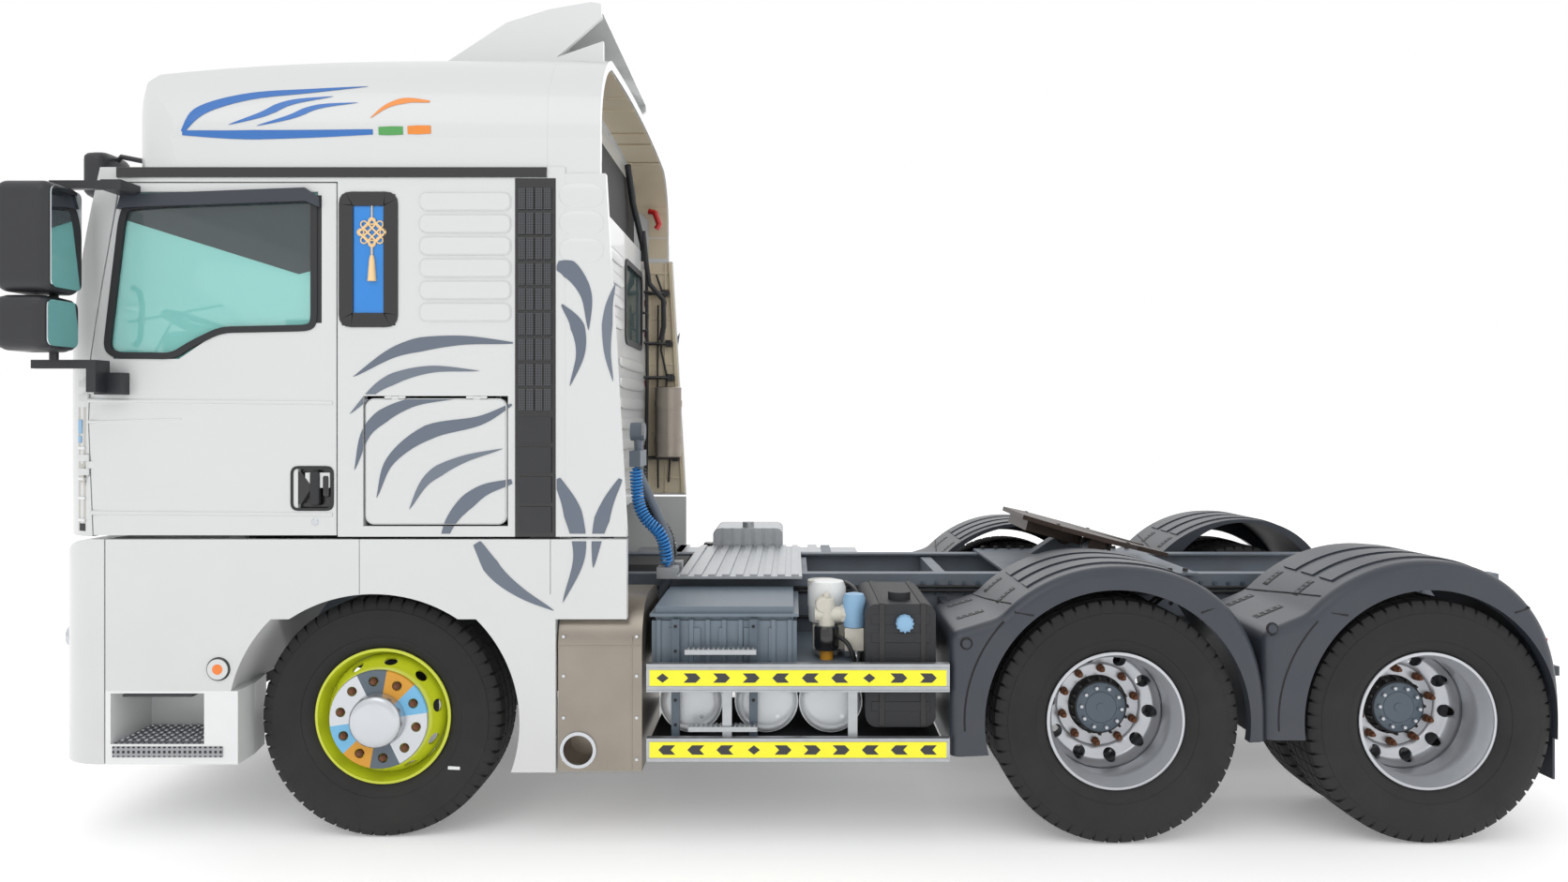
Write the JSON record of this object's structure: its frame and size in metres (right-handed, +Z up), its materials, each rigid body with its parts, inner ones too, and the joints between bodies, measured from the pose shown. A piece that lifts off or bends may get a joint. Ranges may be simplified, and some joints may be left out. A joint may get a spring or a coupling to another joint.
{
  "type": "semi truck tractor unit",
  "caption": "Cab-over tractor unit with tilting sleeper cab, steered front wheels, driven twin-tyre bogie and a rocking coupling plate.",
  "frame": {"origin": "on the road under the middle of the vehicle's bounding box", "axes": "X from the cab's front to the tail, Y from the driver's left side to the right side, Z up"},
  "size_m": [6.85, 3.09, 3.834],
  "materials": {
    "cab_white": "gloss",
    "chassis_grey": "satin",
    "cast_dark": "rough",
    "charcoal_plastic": "satin",
    "glass": "clear",
    "lamp_red": "gloss",
    "aluminium": "satin",
    "stainless": "brushed",
    "tank_white": "gloss",
    "seat_fabric": "woven",
    "blue_hose": "gloss",
    "black_hose": "satin",
    "rim_lime": "gloss",
    "rim_silver": "satin",
    "tyre": "matte"
  },
  "bodies": {
    "chassis": {"frame_rails": "chassis_grey", "front_bumper": "cab_white", "headlamps": "glass", "lower_panels_left": "cab_white", "lower_panels_right": "cab_white", "steps": "cab_white", "front_axle": "chassis_grey", "leaf_springs": "chassis_grey", "drive_axles": "chassis_grey", "engine_block": "cast_dark", "driveline": "cast_dark", "radiator": "aluminium", "exhaust_box": "stainless", "battery_box": "chassis_grey", "walkway": "aluminium", "air_tanks": "tank_white", "air_dryer": "aluminium", "urea_tank": "charcoal_plastic", "side_guards": "aluminium", "fuel_tank": "aluminium", "ribbed_tank": "aluminium", "rear_mudguards": "charcoal_plastic", "tail_lamps": "lamp_red", "fifth_wheel_base": "chassis_grey", "hose_stand": "chassis_grey", "hose_blue": "blue_hose", "hose_black": "black_hose"},
    "cab": {"cab_shell": "cab_white", "roof_cap": "cab_white", "roof_spoiler": "cab_white", "cab_glass": "glass", "cab_fairings": "cab_white", "intake_strips": "charcoal_plastic", "dashboard": "charcoal_plastic", "seats_and_bunk": "seat_fabric", "side_canister": "stainless"},
    "front_flap": {"front_flap": "cab_white"},
    "fifth_wheel": {"fifth_wheel_plate": "cast_dark"},
    "door_left": {"door_left": "cab_white", "door_glass_left": "glass", "mirrors_left": "charcoal_plastic"},
    "hatch_left": {"hatch_left": "cab_white"},
    "knuckle_left": {"knuckle_left": "cast_dark"},
    "wheel_front_left": {"tyre_front_left": "tyre", "rim_front_left": "rim_lime"},
    "wheel_drive_1_left": {"tyres_drive_1_left": "tyre", "rims_drive_1_left": "rim_silver"},
    "wheel_drive_2_left": {"tyres_drive_2_left": "tyre", "rims_drive_2_left": "rim_silver"},
    "door_right": {"door_right": "cab_white", "door_glass_right": "glass", "mirrors_right": "charcoal_plastic"},
    "hatch_right": {"hatch_right": "cab_white"},
    "knuckle_right": {"knuckle_right": "cast_dark"},
    "wheel_front_right": {"tyre_front_right": "tyre", "rim_front_right": "rim_lime"},
    "wheel_drive_1_right": {"tyres_drive_1_right": "tyre", "rims_drive_1_right": "rim_silver"},
    "wheel_drive_2_right": {"tyres_drive_2_right": "tyre", "rims_drive_2_right": "rim_silver"}
  },
  "joints": [
    {"name": "cab_tilt", "type": "hinge", "parent": "chassis", "child": "cab", "pos_m": [-3.2, 0, 1.1], "axis": [0, -1, 0], "range_deg": [0, 60]},
    {"name": "front_flap_lift", "type": "hinge", "parent": "cab", "child": "front_flap", "pos_m": [-3.418, 0, 1.91], "axis": [0, 1, 0], "range_deg": [0, 85]},
    {"name": "door_left_swing", "type": "hinge", "parent": "cab", "child": "door_left", "pos_m": [-3.208, -1.236, 1.338], "axis": [0, 0, -1], "range_deg": [0, 70]},
    {"name": "hatch_left_lift", "type": "hinge", "parent": "cab", "child": "hatch_left", "pos_m": [-1.7075, -1.238, 1.931], "axis": [-1, 0, 0], "range_deg": [0, 80]},
    {"name": "steer_left", "type": "hinge", "parent": "chassis", "child": "knuckle_left", "pos_m": [-1.975, -0.87, 0.53], "axis": [0, 0, 1], "range_deg": [-35, 35]},
    {"name": "roll_front_left", "type": "hinge", "parent": "knuckle_left", "child": "wheel_front_left", "pos_m": [-1.975, -1.025, 0.53], "axis": [0, 1, 0], "continuous": true},
    {"name": "roll_drive_1_left", "type": "hinge", "parent": "chassis", "child": "wheel_drive_1_left", "pos_m": [1.225, -0.9375, 0.53], "axis": [0, 1, 0], "continuous": true},
    {"name": "roll_drive_2_left", "type": "hinge", "parent": "chassis", "child": "wheel_drive_2_left", "pos_m": [2.575, -0.9375, 0.53], "axis": [0, 1, 0], "continuous": true},
    {"name": "door_right_swing", "type": "hinge", "parent": "cab", "child": "door_right", "pos_m": [-3.208, 1.236, 1.338], "axis": [0, 0, 1], "range_deg": [0, 70]},
    {"name": "hatch_right_lift", "type": "hinge", "parent": "cab", "child": "hatch_right", "pos_m": [-1.7075, 1.238, 1.931], "axis": [1, 0, 0], "range_deg": [0, 80]},
    {"name": "steer_right", "type": "hinge", "parent": "chassis", "child": "knuckle_right", "pos_m": [-1.975, 0.87, 0.53], "axis": [0, 0, 1], "range_deg": [-35, 35]},
    {"name": "roll_front_right", "type": "hinge", "parent": "knuckle_right", "child": "wheel_front_right", "pos_m": [-1.975, 1.025, 0.53], "axis": [0, 1, 0], "continuous": true},
    {"name": "roll_drive_1_right", "type": "hinge", "parent": "chassis", "child": "wheel_drive_1_right", "pos_m": [1.225, 0.9375, 0.53], "axis": [0, 1, 0], "continuous": true},
    {"name": "roll_drive_2_right", "type": "hinge", "parent": "chassis", "child": "wheel_drive_2_right", "pos_m": [2.575, 0.9375, 0.53], "axis": [0, 1, 0], "continuous": true},
    {"name": "fifth_wheel_rock", "type": "hinge", "parent": "chassis", "child": "fifth_wheel", "pos_m": [1.39, 0, 1.16], "axis": [0, -1, 0], "range_deg": [0, 30]}
  ],
  "couplings": [
    {"joint": "steer_right", "follows": "steer_left", "ratio": 1}
  ]
}
